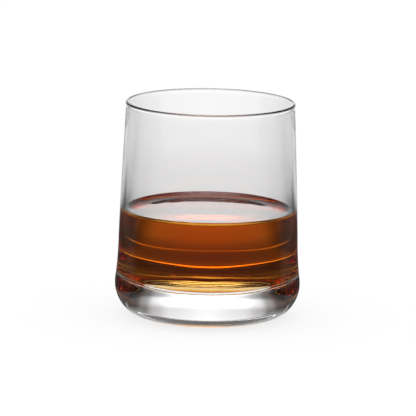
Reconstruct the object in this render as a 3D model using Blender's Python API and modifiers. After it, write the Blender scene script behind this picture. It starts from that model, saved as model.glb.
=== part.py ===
"""Whiskey tumbler: a heavy-based glass, part filled with whiskey.

Metres, +Z up. The origin is on the axis of the glass, in the plane that its foot stands on.
Both pieces are turned about Z. A profile is a list of (radius, height) points that starts on
the axis, runs outwards and up, and then comes down its outer side to the axis again.
"""

import math

import bpy

# The glass, outside
HEIGHT = 0.100
RIM_RADIUS = 0.0391
WIDEST_RADIUS = 0.0427
WIDEST_HEIGHT = 0.0155
# (height, radius) of the wall, from its widest level up to the lip
OUTLINE = [
    (WIDEST_HEIGHT, WIDEST_RADIUS),
    (0.0215, 0.04210),
    (0.0300, 0.04150),
    (0.0400, 0.04125),
    (0.0600, 0.04057),
    (0.0800, 0.03970),
    (0.0980, 0.03888),
]
FOOT_RADIUS = 0.028  # outer edge of the ring that touches the table
FOOT_RING_WIDTH = 0.004
PUNT_DEPTH = 0.0008  # how far the underside rises inside that ring

# The glass, inside
RIM_BEAD_RADIUS = 0.00095  # the fire-polished lip, half round
INNER_RADIUS_TOP = 0.0372
INNER_RADIUS_LOW = 0.0393
FLOOR_HEIGHT = 0.0155  # the thick base, where the floor meets the rounded corner
DOME_HEIGHT = 0.0030  # how much higher the floor is in its middle
CORNER_RADIUS = 0.011  # between the inner floor and the wall

# The whiskey
LIQUID_LEVEL = 0.0482
MENISCUS_RISE = 0.0024
MENISCUS_LENGTH = 0.0018  # the liquid's capillary length
LIQUID_GAP = 0.0003

STEPS_AROUND = 72
SHARP_ANGLE = math.radians(50)


def clear_scene():
    for existing in list(bpy.data.objects):
        bpy.data.objects.remove(existing, do_unlink=True)


def new_collection(name):
    collection = bpy.data.collections.new(name)
    bpy.context.scene.collection.children.link(collection)
    return collection


def clear_material(name, colour, roughness, ior):
    """A Principled material that light passes through."""
    material = bpy.data.materials.new(name)
    material.use_nodes = True
    shader = material.node_tree.nodes["Principled BSDF"]
    shader.inputs["Base Color"].default_value = (*colour, 1.0)
    shader.inputs["Metallic"].default_value = 0.0
    shader.inputs["Roughness"].default_value = roughness
    shader.inputs["IOR"].default_value = ior
    shader.inputs["Transmission Weight"].default_value = 1.0
    return material


def mix(low, high, share):
    return low + (high - low) * share


def smooth_step(share):
    share = min(max(share, 0.0), 1.0)
    return share * share * (3.0 - 2.0 * share)


def arc(centre, half_width, half_height, start, end, count):
    """count + 1 points along an ellipse about centre, with angles in degrees from +radius."""
    points = []
    for i in range(count + 1):
        angle = math.radians(mix(start, end, i / count))
        radius = centre[0] + half_width * math.cos(angle)
        height = centre[1] + half_height * math.sin(angle)
        points.append((radius, height))
    return points


def outline_slope(i):
    """How fast the outline's radius changes with height at its point i."""
    if i == 0:
        return 0.0
    (low, narrow), (high, wide) = OUTLINE[i - 1], OUTLINE[min(i + 1, len(OUTLINE) - 1)]
    return (wide - narrow) / (high - low)


def outer_radius(height):
    """The outside of the wall: a smooth curve through OUTLINE, upright at the widest level."""
    i = 0
    while i < len(OUTLINE) - 2 and height > OUTLINE[i + 1][0]:
        i += 1
    (low, radius_low), (high, radius_high) = OUTLINE[i], OUTLINE[i + 1]
    span = high - low
    share = (height - low) / span
    bend_low = outline_slope(i) * span * share * (1.0 - share) ** 2
    bend_high = outline_slope(i + 1) * span * share ** 2 * (1.0 - share)
    return mix(radius_low, radius_high, smooth_step(share)) + bend_low - bend_high


def inner_radius(height):
    low = FLOOR_HEIGHT + CORNER_RADIUS
    return mix(INNER_RADIUS_LOW, INNER_RADIUS_TOP, (height - low) / (HEIGHT - low))


def inner_corner(gap, count):
    """The rounded corner from the inner floor up to the wall, moved inwards by gap."""
    centre = (INNER_RADIUS_LOW - CORNER_RADIUS, FLOOR_HEIGHT + CORNER_RADIUS)
    return arc(centre, CORNER_RADIUS - gap, CORNER_RADIUS - gap, -90, 0, count)


def inner_floor(gap, count):
    """The low dome of the inner floor, moved up by gap: from the axis to the rounded corner."""
    edge = INNER_RADIUS_LOW - CORNER_RADIUS
    points = []
    for i in range(count):
        share = i / count
        rise = DOME_HEIGHT * (1.0 - smooth_step(share))
        points.append((edge * share, FLOOR_HEIGHT + rise + gap))
    return points


def rim_bead():
    """The half-round lip, which stands slightly proud of the outer wall."""
    centre = (RIM_RADIUS - RIM_BEAD_RADIUS, HEIGHT - RIM_BEAD_RADIUS)
    return arc(centre, RIM_BEAD_RADIUS, RIM_BEAD_RADIUS, 180, -30, 7)


def outer_wall():
    """The wall from under the lip down to the widest level, with more points where it curves more."""
    wall_top = HEIGHT - 2.5 * RIM_BEAD_RADIUS
    upper = [(outer_radius(z), z) for z in (wall_top, 0.080, 0.060, 0.045, 0.035)]
    lower = [(outer_radius(z), z) for z in (0.030, 0.026, 0.0225, 0.0200, 0.0178)]
    return upper + lower


def foot_curve():
    """The large rounding from the widest level down to the ring that touches the table."""
    centre = (FOOT_RADIUS, WIDEST_HEIGHT)
    return arc(centre, WIDEST_RADIUS - FOOT_RADIUS, WIDEST_HEIGHT, 0, -90, 9)


def underside():
    """The ring that touches the table, and the shallow flat punt inside it."""
    ring_inside = FOOT_RADIUS - FOOT_RING_WIDTH
    return [
        (ring_inside, 0.0),
        (ring_inside - 2.0 * PUNT_DEPTH, PUNT_DEPTH),
        (0.0, PUNT_DEPTH),
    ]


def glass_profile():
    inside = inner_floor(0.0, 6) + inner_corner(0.0, 7)
    return inside + rim_bead() + outer_wall() + foot_curve() + underside()


def meniscus(edge_radius):
    """The liquid's surface from its centre to the wall, where it climbs the glass."""
    points = [(0.0, LIQUID_LEVEL)]
    for i in range(6):
        from_wall = 4.0 * MENISCUS_LENGTH * (1.0 - i / 5) ** 2
        rise = MENISCUS_RISE * math.exp(-from_wall / MENISCUS_LENGTH)
        points.append((edge_radius - from_wall, LIQUID_LEVEL + rise))
    return points


def whiskey_profile():
    edge_radius = inner_radius(LIQUID_LEVEL + MENISCUS_RISE) - LIQUID_GAP
    bottom = inner_floor(LIQUID_GAP, 6) + inner_corner(LIQUID_GAP, 7)
    return meniscus(edge_radius) + bottom[::-1]


def turned(name, profile, material, collection):
    """The solid that the profile sweeps in one turn about Z, shaded smooth but for real edges."""
    outline = bpy.data.meshes.new(name + "_outline")
    edges = [(i, i + 1) for i in range(len(profile) - 1)]
    outline.from_pydata([(r, 0.0, z) for r, z in profile], edges, [])
    piece = bpy.data.objects.new(name, outline)
    collection.objects.link(piece)
    screw = piece.modifiers.new("Turn", "SCREW")
    screw.axis = "Z"
    screw.angle = math.tau
    screw.steps = STEPS_AROUND
    screw.render_steps = STEPS_AROUND
    screw.use_merge_vertices = True
    screw.merge_threshold = 0.00001
    graph = bpy.context.evaluated_depsgraph_get()
    solid = bpy.data.meshes.new_from_object(piece.evaluated_get(graph))
    piece.modifiers.remove(screw)
    piece.data = solid
    bpy.data.meshes.remove(outline)
    solid.name = name
    solid.shade_smooth()
    solid.set_sharp_from_angle(angle=SHARP_ANGLE)
    solid.materials.append(material)
    return piece


def main():
    clear_scene()
    tumbler = new_collection("whiskey_tumbler")
    glass = clear_material("clear_glass", (0.96, 0.97, 0.97), 0.0, 1.50)
    whiskey = clear_material("amber_whiskey", (0.72, 0.27, 0.04), 0.0, 1.36)
    turned("glass_tumbler", glass_profile(), glass, tumbler)
    turned("whiskey", whiskey_profile(), whiskey, tumbler)


main()
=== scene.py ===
"""Whiskey tumbler: the fine surfaces of the glass and the whiskey, lit from behind in a small studio.

Metres, +Z up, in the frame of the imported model. Sizes are shares of the glass's height.
"""

import math

import bpy
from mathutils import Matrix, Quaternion, Vector, noise


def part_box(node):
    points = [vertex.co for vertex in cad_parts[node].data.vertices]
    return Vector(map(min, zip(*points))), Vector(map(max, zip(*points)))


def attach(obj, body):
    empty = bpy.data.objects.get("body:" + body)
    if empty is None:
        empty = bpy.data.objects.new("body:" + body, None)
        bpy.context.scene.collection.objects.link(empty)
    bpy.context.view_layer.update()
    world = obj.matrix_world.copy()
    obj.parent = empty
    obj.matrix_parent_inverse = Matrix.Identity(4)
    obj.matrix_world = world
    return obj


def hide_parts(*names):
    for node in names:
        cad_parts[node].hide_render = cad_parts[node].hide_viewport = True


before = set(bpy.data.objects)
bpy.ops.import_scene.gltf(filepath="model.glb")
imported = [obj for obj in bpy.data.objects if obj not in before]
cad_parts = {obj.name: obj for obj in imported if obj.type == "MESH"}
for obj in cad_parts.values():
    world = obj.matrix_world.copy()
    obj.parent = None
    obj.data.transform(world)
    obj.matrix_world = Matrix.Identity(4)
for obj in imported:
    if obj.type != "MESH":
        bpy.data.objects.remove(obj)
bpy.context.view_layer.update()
glass_low, glass_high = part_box("glass_tumbler")
liquid_low, liquid_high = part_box("whiskey")

# The glass
HEIGHT = glass_high.z - glass_low.z
WIDEST_RADIUS = (glass_high.x - glass_low.x) / 2
WIDEST_HEIGHT = 0.155 * HEIGHT
# (height, radius) of the outside, from its widest level up to the lip
OUTLINE = [
    (WIDEST_HEIGHT, WIDEST_RADIUS),
    (0.215 * HEIGHT, 0.4210 * HEIGHT),
    (0.300 * HEIGHT, 0.4150 * HEIGHT),
    (0.400 * HEIGHT, 0.4125 * HEIGHT),
    (0.600 * HEIGHT, 0.4057 * HEIGHT),
    (0.800 * HEIGHT, 0.3970 * HEIGHT),
    (0.980 * HEIGHT, 0.3888 * HEIGHT),
]
RIM_RADIUS = 0.391 * HEIGHT
BEAD_RADIUS = 0.0095 * HEIGHT
FOOT_RADIUS = 0.28 * HEIGHT
RING_INNER_RADIUS = 0.24 * HEIGHT
PUNT_DEPTH = 0.008 * HEIGHT
INNER_RADIUS_TOP = 0.372 * HEIGHT
INNER_RADIUS_LOW = 0.393 * HEIGHT
FLOOR_HEIGHT = 0.155 * HEIGHT
CORNER_RADIUS = 0.11 * HEIGHT
DOME_HEIGHT = 0.030 * HEIGHT  # how far the inner floor rises in its middle
WAVE_DEPTH = 0.0012 * HEIGHT  # the slight unevenness of the inner floor
WAVE_LENGTH = 0.09 * HEIGHT

# The whiskey
MENISCUS_RISE = 0.024 * HEIGHT
MENISCUS_LENGTH = 0.018 * HEIGHT
CONTACT_HEIGHT = liquid_high.z
LIQUID_LEVEL = CONTACT_HEIGHT - MENISCUS_RISE
WETTING = 0.0015 * HEIGHT  # how far the liquid reaches into the glass, so that no air shows between
RIPPLE_DEPTH = 0.0003 * HEIGHT
RIPPLE_LENGTH = 0.055 * HEIGHT
RIPPLE_FADE = (0.6 * RIM_RADIUS, 0.9 * RIM_RADIUS)  # where the ripples start to die away, and are gone
NOISE_LEVEL = 3.7  # the level of the noise that the waves and ripples are taken from

STEPS_AROUND = 288

# The materials
GLASS_IOR = 1.50
WHISKEY_IOR = 1.36
# in the whiskey each colour c of the light fades as exp(-(1 - c) * density * length)
ABSORPTION_COLOUR = (0.936, 0.714, 0.14, 1.0)
ABSORPTION_DENSITY = 110.0
BUMP_SCALE = 45.0
BUMP_STRENGTH = 1.0
BUMP_DISTANCE = 0.00003
MOST_BOUNCES = 32
MOST_MIRRORINGS = 16
FLOOR_COLOUR = (0.22, 0.22, 0.22, 1.0)
FLOOR_GLOW = 0.80
WHITE = (1.0, 1.0, 1.0, 1.0)

# The camera
VIEW_ELEVATION = math.radians(10.48)
VIEW_ROLL = math.radians(1.07)
VIEW_DISTANCE = 25 * HEIGHT
VIEW_LENS = 469.4
SENSOR_WIDTH = 36.0
AIM = Vector((-0.0032 * HEIGHT, 0.0, 0.5023 * HEIGHT))

# The studio: cards that only the glass and the whiskey see. Distances here are in glass heights,
# with y away from the camera. The camera never sees a card.
FLOOR_HALF = 40.0
STUDIO_HALF = 6.0
WALL_DISTANCE = 5.4
CARD_DROP = 0.02  # how far the table card lies under the foot
# how many cells a card has across and along it, more where its brightness changes fast
TABLE_CELLS = (160, 228)
WALL_CELLS = (48, 36)
CEILING_CELLS = (24, 24)
FILL_CELLS = 24
LINE_CELLS = 48
FRONT_GLOW = 0.09
SIDE_GLOW = 0.06
# (y, brightness) of the cards at the sides and in front that light passing through the glass sees
FILL_SIDES = [(-6.0, 0.80), (-1.5, 0.60), (0.5, 0.25), (2.0, 0.08), (5.4, 0.06)]
FILL_FRONT = 0.85
FILL_TABLE_END = -0.5
FILL_LIFT = 0.01
# (|x|, brightness) across the ceiling, and (y, share of it) along the ceiling
CEILING_ACROSS = [(0.0, 5.2), (1.2, 4.4), (2.5, 0.4), (6.0, 0.2)]
CEILING_DEPTH = [(-6.0, 0.2), (-3.0, 0.25), (-1.8, 1.0), (1.2, 1.0), (2.2, 0.2), (5.4, 0.1)]
UNDER_FOOT_RADIUS = 0.45
UNDER_FOOT_GLOW = (1.0, 0.30)  # in front of the glass's axis and behind it
# a soft bright spot under the back of the foot, which lights the front of the liquid's surface
SPOT_GLOW = 1.5
SPOT_DISTANCE = 0.37
SPOT_HALF_WIDTH = 0.24
SPOT_HALF_DEPTH = 0.11
# (distance behind the glass, brightness) along the middle of the table
TABLE_DEPTH = [
    (0.40, 0.01), (0.60, 0.01), (0.65, 0.10), (0.68, 0.10), (0.72, 0.04), (0.86, 0.08),
    (0.93, 0.34), (1.05, 0.20), (1.35, 0.19), (1.50, 0.26), (2.00, 0.58), (2.30, 0.66),
    (2.75, 0.70), (3.20, 0.80), (4.50, 0.90), (5.40, 0.94),
]
TABLE_LIT_FROM = 0.4
# the lit half width of the table: at y = 0, and how fast it grows with y
LIT_HALF_WIDTH = 0.35
LIT_SPREAD = 0.3
# (share of the lit half width, share of brightness) across the table
TABLE_ACROSS = [(0.0, 1.0), (0.45, 0.88), (0.85, 0.30), (1.2, 0.08), (3.0, 0.03)]
# (|x|, share of brightness) across the far end of the table, and the y where it starts and is full
TABLE_FAR_ACROSS = [(0.0, 1.0), (1.5, 0.95), (3.5, 0.60), (6.0, 0.30)]
TABLE_FAR = (2.4, 3.4)
TABLE_SIDE_GLOW = 0.16
TABLE_SIDE = (1.3, 2.5)
# how the table's base glow goes from front to side, between these y
BASE_BLEND = (-1.5, 0.0)
# (z, brightness) up the wall, and (|x|, share of it) across the wall
WALL_UP = [(0.0, 0.96), (1.2, 1.05), (1.4, 2.1), (1.62, 2.1), (2.0, 1.0), (5.4, 1.2)]
WALL_ACROSS = [(0.0, 1.0), (1.35, 0.82), (2.25, 0.50), (3.15, 0.18), (4.2, 0.05), (6.0, 0.03)]
# (radius, width, brightness) of two thin bright lines on the table, bent round the foot
LINES = [(0.87, 0.024, 3.0), (1.52, 0.035, 0.75)]
LINE_HALF_TURN = math.radians(40)
LINE_FADE_FROM = 0.375  # share of the half turn


def mix(low, high, share):
    return low + (high - low) * share


def smooth_step(share):
    share = min(max(share, 0.0), 1.0)
    return share * share * (3.0 - 2.0 * share)


def ramp(ends, place):
    """0 before the first end, 1 after the second, eased between them."""
    return smooth_step((place - ends[0]) / (ends[1] - ends[0]))


def along(stops, place):
    """The value at a place between stops of (place, value), eased from each stop to the next."""
    for (start, low), (end, high) in zip(stops, stops[1:]):
        if place <= end:
            return mix(low, high, smooth_step((place - start) / (end - start)))
    return stops[-1][1]


def arc(centre, half_width, half_height, start, end, count):
    """count + 1 (radius, height) points along an ellipse, with angles in degrees from +radius."""
    points = []
    for i in range(count + 1):
        angle = math.radians(mix(start, end, i / count))
        radius = centre[0] + half_width * math.cos(angle)
        points.append((radius, centre[1] + half_height * math.sin(angle)))
    return points


def run(function, start, end, count):
    """count points (function(height), height) from start towards end, without the end."""
    heights = [mix(start, end, i / count) for i in range(count)]
    return [(function(z), z) for z in heights]


def level(radius_start, radius_end, height, count):
    """count points along a level line, without its end."""
    return [(mix(radius_start, radius_end, i / count), height) for i in range(count)]


# Shape


def outline_slope(i):
    """How fast the outline's radius changes with height at its point i."""
    if i == 0:
        return 0.0
    (low, narrow), (high, wide) = OUTLINE[i - 1], OUTLINE[min(i + 1, len(OUTLINE) - 1)]
    return (wide - narrow) / (high - low)


def outer_radius(height):
    """The outside of the wall: a smooth curve through OUTLINE, upright at the widest level."""
    i = 0
    while i < len(OUTLINE) - 2 and height > OUTLINE[i + 1][0]:
        i += 1
    (low, radius_low), (high, radius_high) = OUTLINE[i], OUTLINE[i + 1]
    span = high - low
    share = (height - low) / span
    bend_low = outline_slope(i) * span * share * (1.0 - share) ** 2
    bend_high = outline_slope(i + 1) * span * share ** 2 * (1.0 - share)
    return mix(radius_low, radius_high, smooth_step(share)) + bend_low - bend_high


def inner_radius(height):
    low = FLOOR_HEIGHT + CORNER_RADIUS
    return mix(INNER_RADIUS_LOW, INNER_RADIUS_TOP, (height - low) / (HEIGHT - low))


def floor_points(start, end, depth, count):
    """count points along the low dome of the inner floor, depth under it, without the end."""
    floor_edge = INNER_RADIUS_LOW - CORNER_RADIUS
    points = []
    for i in range(count):
        radius = mix(start, end, i / count)
        rise = DOME_HEIGHT * (1.0 - smooth_step(radius / floor_edge))
        points.append((radius, FLOOR_HEIGHT + rise - depth))
    return points


def glass_profile():
    """The points from the axis out, up and back, and the material number of each step.

    The liquid wets the steps numbered 1.
    """
    floor_edge = INNER_RADIUS_LOW - CORNER_RADIUS
    corner_top = FLOOR_HEIGHT + CORNER_RADIUS
    bead = (RIM_RADIUS - BEAD_RADIUS, HEIGHT - BEAD_RADIUS)
    wall_top = HEIGHT - 2.5 * BEAD_RADIUS
    points = floor_points(0.0, floor_edge, 0.0, 48)
    points += arc((floor_edge, corner_top), CORNER_RADIUS, CORNER_RADIUS, -90, 0, 28)
    points += run(inner_radius, corner_top, CONTACT_HEIGHT, 12)[1:]
    wet_steps = len(points)
    points += run(inner_radius, CONTACT_HEIGHT, bead[1], 16)
    points += arc(bead, BEAD_RADIUS, BEAD_RADIUS, 180, -30, 21)
    points += run(outer_radius, wall_top, WIDEST_HEIGHT, 90)
    foot_width = WIDEST_RADIUS - FOOT_RADIUS
    points += arc((FOOT_RADIUS, WIDEST_HEIGHT), foot_width, WIDEST_HEIGHT, 0, -90, 36)
    points.append((RING_INNER_RADIUS, 0.0))
    points.append((RING_INNER_RADIUS - 2.0 * PUNT_DEPTH, PUNT_DEPTH))
    points.append((0.0, PUNT_DEPTH))
    return points, [1] * wet_steps + [0] * (len(points) - 1 - wet_steps)


def surface_height(from_wall):
    return LIQUID_LEVEL + MENISCUS_RISE * math.exp(-from_wall / MENISCUS_LENGTH)


def whiskey_profile():
    """The points of the surface, the side and the bottom, and the material number of each step.

    The steps numbered 1 lie on glass.
    """
    edge = inner_radius(CONTACT_HEIGHT)
    rim = edge - 5.0 * MENISCUS_LENGTH
    corner_top = FLOOR_HEIGHT + CORNER_RADIUS
    floor_edge = INNER_RADIUS_LOW - CORNER_RADIUS
    points = level(0.0, rim, LIQUID_LEVEL, 48)
    for i in range(30):
        from_wall = (edge - rim) * (1.0 - i / 30) ** 1.5
        points.append((edge - from_wall, surface_height(from_wall)))
    points.append((edge, CONTACT_HEIGHT))
    open_steps = len(points) - 1
    side = run(inner_radius, CONTACT_HEIGHT, corner_top, 16)
    points += [(r + WETTING, z) for r, z in side]
    size = CORNER_RADIUS + WETTING
    points += arc((floor_edge, corner_top), size, size, 0, -90, 28)
    points += floor_points(floor_edge, 0.0, WETTING, 48)[1:]
    points.append((0.0, FLOOR_HEIGHT + DOME_HEIGHT - WETTING))
    return points, [0] * open_steps + [1] * (len(points) - 1 - open_steps)


def unevenness(point, length):
    """Soft waves between -1 and 1 with about this length."""
    return noise.noise(Vector((point.x / length, point.y / length, NOISE_LEVEL)))


def waved(point):
    """The inner floor is slightly uneven, and so is the underside of the liquid on it."""
    near_floor = 1.0 - smooth_step((point.z - FLOOR_HEIGHT) / CORNER_RADIUS)
    if point.z < FLOOR_HEIGHT - 2.0 * WETTING:
        return point
    rise = WAVE_DEPTH * near_floor * unevenness(point, WAVE_LENGTH)
    return Vector((point.x, point.y, point.z + rise))


def rippled(point):
    """The liquid's surface carries faint ripples that die away at the wall."""
    if point.z < LIQUID_LEVEL - WETTING:
        return waved(point)
    fade = 1.0 - ramp(RIPPLE_FADE, math.hypot(point.x, point.y))
    rise = RIPPLE_DEPTH * fade * unevenness(point, RIPPLE_LENGTH)
    return Vector((point.x, point.y, point.z + rise))


def turned(name, profile, steps, moved, materials):
    """A closed mesh turned about Z from a profile that starts and ends on the axis.

    steps holds the number of the material of each step of the profile.
    """
    verts = []
    rings = []
    for r, z in profile:
        ring = []
        count = STEPS_AROUND if r > 0.0 else 1
        for k in range(count):
            angle = math.tau * k / STEPS_AROUND
            ring.append(len(verts))
            verts.append(moved(Vector((r * math.cos(angle), r * math.sin(angle), z))))
        rings.append(ring)
    faces = []
    chosen = []
    for low, high, material in zip(rings, rings[1:], steps):
        for k in range(STEPS_AROUND):
            a, b = low[k % len(low)], low[(k + 1) % len(low)]
            c, d = high[(k + 1) % len(high)], high[k % len(high)]
            corners = list(dict.fromkeys((d, c, b, a)))
            faces.append(corners)
            chosen.append(material)
    mesh = bpy.data.meshes.new(name)
    mesh.from_pydata(verts, [], faces)
    mesh.shade_smooth()
    for material in materials:
        mesh.materials.append(material)
    mesh.polygons.foreach_set("material_index", chosen)
    piece = bpy.data.objects.new(name, mesh)
    bpy.context.scene.collection.objects.link(piece)
    return piece


# Materials


def new_material(name):
    material = bpy.data.materials.new(name)
    material.use_nodes = True
    return material, material.node_tree


def surface_bump(tree):
    """A very slight waviness of the surface."""
    place = tree.nodes.new("ShaderNodeTexCoord")
    texture = tree.nodes.new("ShaderNodeTexNoise")
    texture.inputs["Scale"].default_value = BUMP_SCALE
    texture.inputs["Detail"].default_value = 1.0
    bump = tree.nodes.new("ShaderNodeBump")
    bump.inputs["Strength"].default_value = BUMP_STRENGTH
    bump.inputs["Distance"].default_value = BUMP_DISTANCE
    tree.links.new(place.outputs["Object"], texture.inputs["Vector"])
    tree.links.new(texture.outputs["Fac"], bump.inputs["Height"])
    return bump.outputs["Normal"]


def clear_material(name, ior):
    """Something that light passes through, with a very slight waviness of its surface."""
    material, tree = new_material(name)
    shader = tree.nodes["Principled BSDF"]
    shader.inputs["Base Color"].default_value = WHITE
    shader.inputs["Roughness"].default_value = 0.0
    shader.inputs["IOR"].default_value = ior
    shader.inputs["Transmission Weight"].default_value = 1.0
    tree.links.new(surface_bump(tree), shader.inputs["Normal"])
    return material, tree


def glass_material():
    return clear_material("fine_glass", GLASS_IOR)[0]


def wetted_glass_material():
    """The wall behind the liquid: the liquid's own surface, just inside the glass, bends the light."""
    material, tree = new_material("wetted_glass")
    tree.nodes.clear()
    output = tree.nodes.new("ShaderNodeOutputMaterial")
    through = tree.nodes.new("ShaderNodeBsdfTransparent")
    tree.links.new(through.outputs["BSDF"], output.inputs["Surface"])
    return material


def add_absorption(tree):
    depth = tree.nodes.new("ShaderNodeVolumeAbsorption")
    depth.inputs["Color"].default_value = ABSORPTION_COLOUR
    depth.inputs["Density"].default_value = ABSORPTION_DENSITY
    tree.links.new(depth.outputs["Volume"], tree.nodes["Material Output"].inputs["Volume"])


def wetting_whiskey_material():
    """The side of the liquid that lies on glass."""
    material, tree = new_material("wetting_whiskey")
    tree.nodes.remove(tree.nodes["Principled BSDF"])
    shader = tree.nodes.new("ShaderNodeBsdfGlass")
    shader.inputs["Roughness"].default_value = 0.0
    shader.inputs["IOR"].default_value = WHISKEY_IOR / GLASS_IOR
    tree.links.new(shader.outputs["BSDF"], tree.nodes["Material Output"].inputs["Surface"])
    add_absorption(tree)
    return material


def whiskey_material():
    material, tree = clear_material("fine_whiskey", WHISKEY_IOR)
    add_absorption(tree)
    return material


def glow_material():
    """Light of the strength that each point of the card holds in its glow attribute."""
    material, tree = new_material("card_glow")
    tree.nodes.clear()
    output = tree.nodes.new("ShaderNodeOutputMaterial")
    emission = tree.nodes.new("ShaderNodeEmission")
    strength = tree.nodes.new("ShaderNodeAttribute")
    strength.attribute_name = "glow"
    tree.links.new(strength.outputs["Fac"], emission.inputs["Strength"])
    tree.links.new(emission.outputs["Emission"], output.inputs["Surface"])
    material.cycles.emission_sampling = "NONE"
    return material


# Studio


def hide_from(piece, *ways):
    for way in ways:
        setattr(piece, "visible_" + way, False)


def make_camera():
    data = bpy.data.cameras.new("camera")
    data.sensor_width = SENSOR_WIDTH
    data.lens = VIEW_LENS
    data.clip_end = 100.0
    camera = bpy.data.objects.new("camera", data)
    bpy.context.scene.collection.objects.link(camera)
    back = Vector((0.0, -math.cos(VIEW_ELEVATION), math.sin(VIEW_ELEVATION)))
    camera.location = AIM + back * VIEW_DISTANCE
    camera.rotation_mode = "QUATERNION"
    roll = Quaternion((0.0, 0.0, 1.0), VIEW_ROLL)
    camera.rotation_quaternion = (-back).to_track_quat("-Z", "Y") @ roll
    bpy.context.scene.camera = camera


def make_world():
    world = bpy.data.worlds.new("studio")
    world.use_nodes = True
    background = world.node_tree.nodes["Background"]
    background.inputs["Color"].default_value = WHITE
    background.inputs["Strength"].default_value = 1.0
    world.cycles.sampling_method = "NONE"
    bpy.context.scene.world = world


def make_floor():
    side = FLOOR_HALF * HEIGHT
    corners = [(-side, -side, 0), (side, -side, 0), (side, side, 0), (-side, side, 0)]
    mesh = bpy.data.meshes.new("floor")
    mesh.from_pydata(corners, [], [(0, 1, 2, 3)])
    floor = bpy.data.objects.new("floor", mesh)
    bpy.context.scene.collection.objects.link(floor)
    material, tree = new_material("floor")
    shader = tree.nodes["Principled BSDF"]
    shader.inputs["Base Color"].default_value = FLOOR_COLOUR
    shader.inputs["Roughness"].default_value = 1.0
    shader.inputs["Specular IOR Level"].default_value = 0.0
    shader.inputs["Emission Color"].default_value = WHITE
    shader.inputs["Emission Strength"].default_value = FLOOR_GLOW
    mesh.materials.append(material)
    hide_from(floor, "glossy", "transmission", "diffuse", "shadow")


def make_card(name, place, glow, across, up, material, hidden=()):
    """A card of across x up faces, lit by glow(x, y, z) and hidden from the ways in hidden.

    place(u, v) gives a point in glass heights for shares u and v from 0 to 1.
    """
    verts = []
    strengths = []
    for j in range(up + 1):
        for i in range(across + 1):
            point = place(i / across, j / up)
            verts.append(tuple(HEIGHT * c for c in point))
            strengths.append(glow(*point))
    faces = []
    for j in range(up):
        for i in range(across):
            first = j * (across + 1) + i
            faces.append((first, first + 1, first + across + 2, first + across + 1))
    mesh = bpy.data.meshes.new(name)
    mesh.from_pydata(verts, [], faces)
    mesh.attributes.new("glow", "FLOAT", "POINT").data.foreach_set("value", strengths)
    mesh.materials.append(material)
    card = bpy.data.objects.new(name, mesh)
    bpy.context.scene.collection.objects.link(card)
    hide_from(card, "camera", "diffuse", "shadow", *hidden)


def under_foot_glow(x, y):
    from_spot = math.hypot(x / SPOT_HALF_WIDTH, (y - SPOT_DISTANCE) / SPOT_HALF_DEPTH)
    return UNDER_FOOT_GLOW[y > 0.0] + SPOT_GLOW * (1.0 - smooth_step(from_spot))


def table_glow(x, y, z):
    """Brightness of the table: lit behind the glass, dark at its sides and in front of it."""
    if math.hypot(x, y) < UNDER_FOOT_RADIUS:
        return under_foot_glow(x, y)
    base = mix(FRONT_GLOW, SIDE_GLOW, ramp(BASE_BLEND, y))
    if y < TABLE_LIT_FROM:
        return base
    base = max(base, TABLE_SIDE_GLOW * ramp(TABLE_SIDE, abs(x)))
    near_across = along(TABLE_ACROSS, abs(x) / (LIT_HALF_WIDTH + LIT_SPREAD * y))
    far_across = along(TABLE_FAR_ACROSS, abs(x))
    return max(base, along(TABLE_DEPTH, y) * mix(near_across, far_across, ramp(TABLE_FAR, y)))


def wall_glow(x, y, z):
    return along(WALL_UP, max(z, 0.0)) * along(WALL_ACROSS, abs(x))


def ceiling_glow(x, y, z):
    return along(CEILING_ACROSS, abs(x)) * along(CEILING_DEPTH, y)


def side_fill(x, y, z):
    return along(FILL_SIDES, y)


def evenly(strength):
    return lambda x, y, z: strength


def studio_sides(inset, table_end):
    """The places of a table, wall, ceiling, front, left and right card, an inset inside the studio."""
    half = STUDIO_HALF - inset
    far = WALL_DISTANCE - inset
    low = inset - CARD_DROP

    def table(u, v):
        return mix(-half, half, u), mix(-half, table_end, v), low

    def wall(u, v):
        return mix(-half, half, u), far, mix(low, far, v)

    def ceiling(u, v):
        return mix(-half, half, u), mix(-half, far, v), far

    def front(u, v):
        return mix(-half, half, u), -half, mix(low, far, v)

    def left(u, v):
        return -half, mix(-half, far, u), mix(low, far, v)

    def right(u, v):
        return half, mix(-half, far, u), mix(low, far, v)

    return table, wall, ceiling, front, left, right


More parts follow.
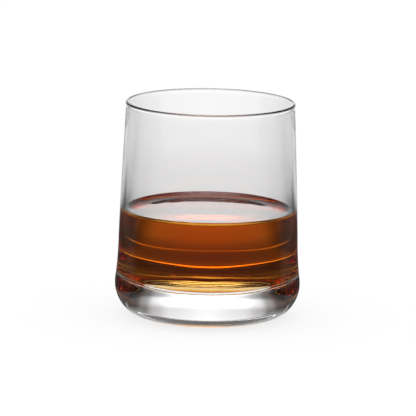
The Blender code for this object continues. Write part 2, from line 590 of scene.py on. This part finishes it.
def make_fill_cards(glow):
    """Softly lit cards just inside the dark ones: seen through the glass, but never mirrored in it."""
    table, _, _, front, left, right = studio_sides(FILL_LIFT, FILL_TABLE_END)
    make_card("fill_table", table, side_fill, 1, FILL_CELLS, glow, ["glossy"])
    make_card("fill_front", front, evenly(FILL_FRONT), 1, 1, glow, ["glossy"])
    make_card("fill_left", left, side_fill, FILL_CELLS, 1, glow, ["glossy"])
    make_card("fill_right", right, side_fill, FILL_CELLS, 1, glow, ["glossy"])


def make_line(name, radius, width, strength, glow):
    """A thin bright line on the table that fades towards its ends."""

    def line(u, v):
        turn = mix(-LINE_HALF_TURN, LINE_HALF_TURN, u)
        reach = radius + width * (v - 0.5)
        return reach * math.sin(turn), reach * math.cos(turn), -CARD_DROP / 2

    def fading(x, y, z):
        turn = abs(math.atan2(x, y)) / LINE_HALF_TURN
        return strength * (1.0 - ramp((LINE_FADE_FROM, 1.0), turn))

    make_card(name, line, fading, LINE_CELLS, 1, glow)


def make_cards():
    glow = glow_material()
    table, wall, ceiling, front, left, right = studio_sides(0.0, WALL_DISTANCE)
    make_card("light_table", table, table_glow, *TABLE_CELLS, glow)
    make_card("light_wall", wall, wall_glow, *WALL_CELLS, glow)
    make_card("light_ceiling", ceiling, ceiling_glow, *CEILING_CELLS, glow)
    make_card("light_front", front, evenly(FRONT_GLOW), 1, 1, glow)
    make_card("light_left", left, evenly(SIDE_GLOW), 1, 1, glow)
    make_card("light_right", right, evenly(SIDE_GLOW), 1, 1, glow)
    make_fill_cards(glow)
    for number, (radius, width, strength) in enumerate(LINES):
        make_line(f"light_line_{number}", radius, width, strength, glow)


def main():
    scene = bpy.context.scene
    scene.view_settings.view_transform = "Standard"
    scene.cycles.max_bounces = MOST_BOUNCES
    scene.cycles.transmission_bounces = MOST_BOUNCES
    scene.cycles.transparent_max_bounces = MOST_BOUNCES
    scene.cycles.glossy_bounces = MOST_MIRRORINGS
    make_camera()
    make_world()
    make_floor()
    make_cards()
    points, steps = glass_profile()
    materials = [glass_material(), wetted_glass_material()]
    glass = turned("fine_glass", points, steps, waved, materials)
    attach(glass, "root")
    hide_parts("glass_tumbler")
    points, steps = whiskey_profile()
    materials = [whiskey_material(), wetting_whiskey_material()]
    whiskey = turned("fine_whiskey", points, steps, rippled, materials)
    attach(whiskey, "root")
    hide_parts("whiskey")


main()
